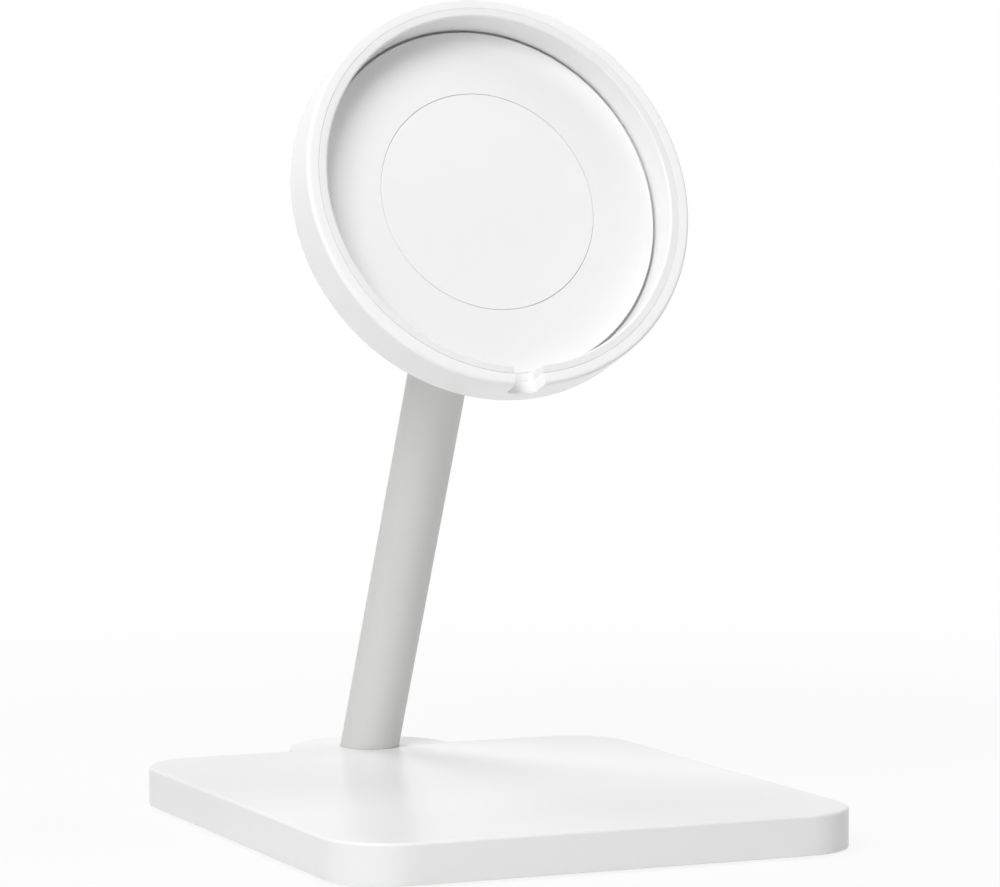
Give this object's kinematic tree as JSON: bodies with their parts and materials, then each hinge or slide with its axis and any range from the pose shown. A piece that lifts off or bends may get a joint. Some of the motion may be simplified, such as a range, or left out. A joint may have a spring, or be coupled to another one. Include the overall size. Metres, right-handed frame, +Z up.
{
  "type": "charging stand",
  "caption": "Desk stand with a weighted base, a leaning round stem and a tilting round cup with a cable notch, which holds a magnetic charging puck.",
  "frame": {"origin": "on the underside of the foot pad, at the middle of the base's rectangle", "axes": "+Z up, -Y to the front, where the cup faces, +X to the right as the cup is faced"},
  "size_m": [0.084, 0.1087, 0.1282],
  "materials": {
    "cover_white": "satin white paint",
    "head_white": "satin white",
    "liner_white": "matte white",
    "floor_white": "matte white",
    "pad_white": "matte white",
    "tape_white": "matte",
    "stem_grey": "satin, bead blasted and anodised",
    "hinge_grey": "satin",
    "steel": "zinc plated",
    "washer_black": "matte",
    "foot_grey": "matte silicone"
  },
  "bodies": {
    "stand": {"base_cover": "cover_white", "ballast_plate": "steel", "foot_pad": "foot_grey", "cover_screws": "steel", "stem_foot": "hinge_grey", "stem_screw": "steel", "stem_tube": "stem_grey", "stem_knuckle": "hinge_grey", "stem_set_screw": "steel"},
    "head": {"hinge_bracket": "hinge_grey", "friction_washers": "washer_black", "hinge_screw": "steel", "spring_washer": "steel", "hinge_nut": "steel", "head_shell": "head_white", "bracket_screws": "steel", "rim_liner": "liner_white", "disc_tape": "tape_white", "floor_disc": "floor_white", "centre_pad": "pad_white"}
  },
  "joints": [
    {"name": "head_tilt", "type": "hinge", "parent": "stand", "child": "head", "pos_m": [0, 0.008, 0.09378], "axis": [-1, 0, 0], "range_deg": [-20, 50]}
  ]
}
